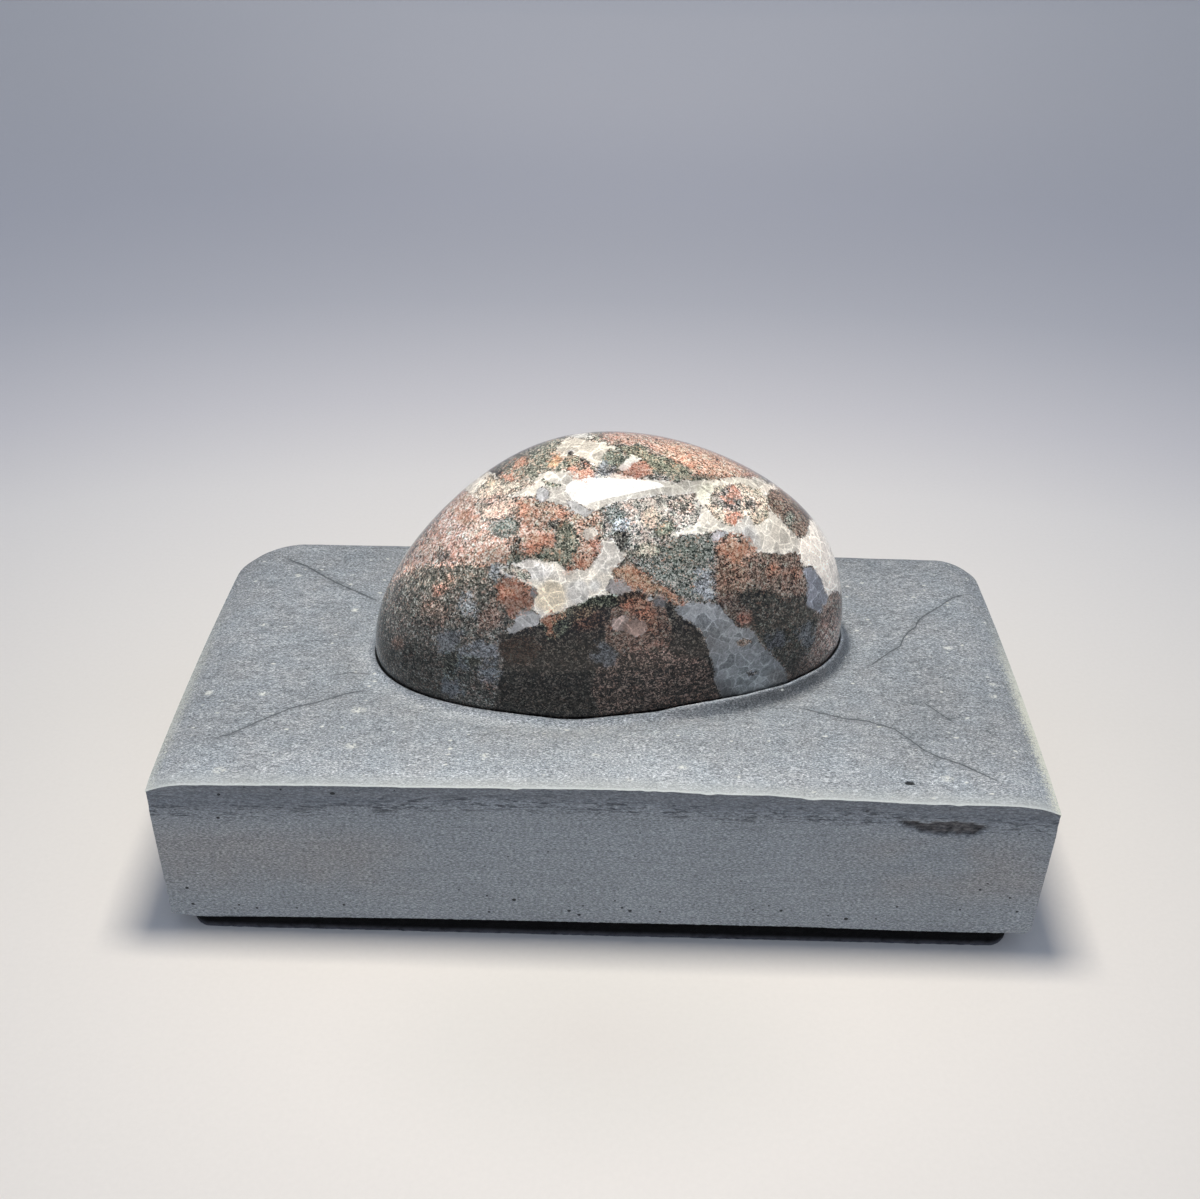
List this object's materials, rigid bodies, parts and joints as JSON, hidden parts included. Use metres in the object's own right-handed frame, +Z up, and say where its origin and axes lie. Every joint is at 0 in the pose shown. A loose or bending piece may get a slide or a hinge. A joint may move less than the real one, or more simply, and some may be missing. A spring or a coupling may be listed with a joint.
{
  "type": "puddingstone set in a concrete block",
  "caption": "Polished puddingstone cobble shown half sunk in a grey cast concrete block on a black felt pad, as a desk or shelf specimen.",
  "frame": {"origin": "middle of the felt pad's underside, on the table", "axes": "+X along the block to its right as seen from its sawn front face, +Y to its back, +Z up"},
  "size_m": [0.1514, 0.077, 0.0757],
  "materials": {
    "polished_puddingstone": "polished",
    "cast_concrete": "matte",
    "black_felt": "matte"
  },
  "bodies": {
    "root": {"cobble": "polished_puddingstone", "concrete_block": "cast_concrete", "felt_pad": "black_felt"}
  },
  "joints": []
}
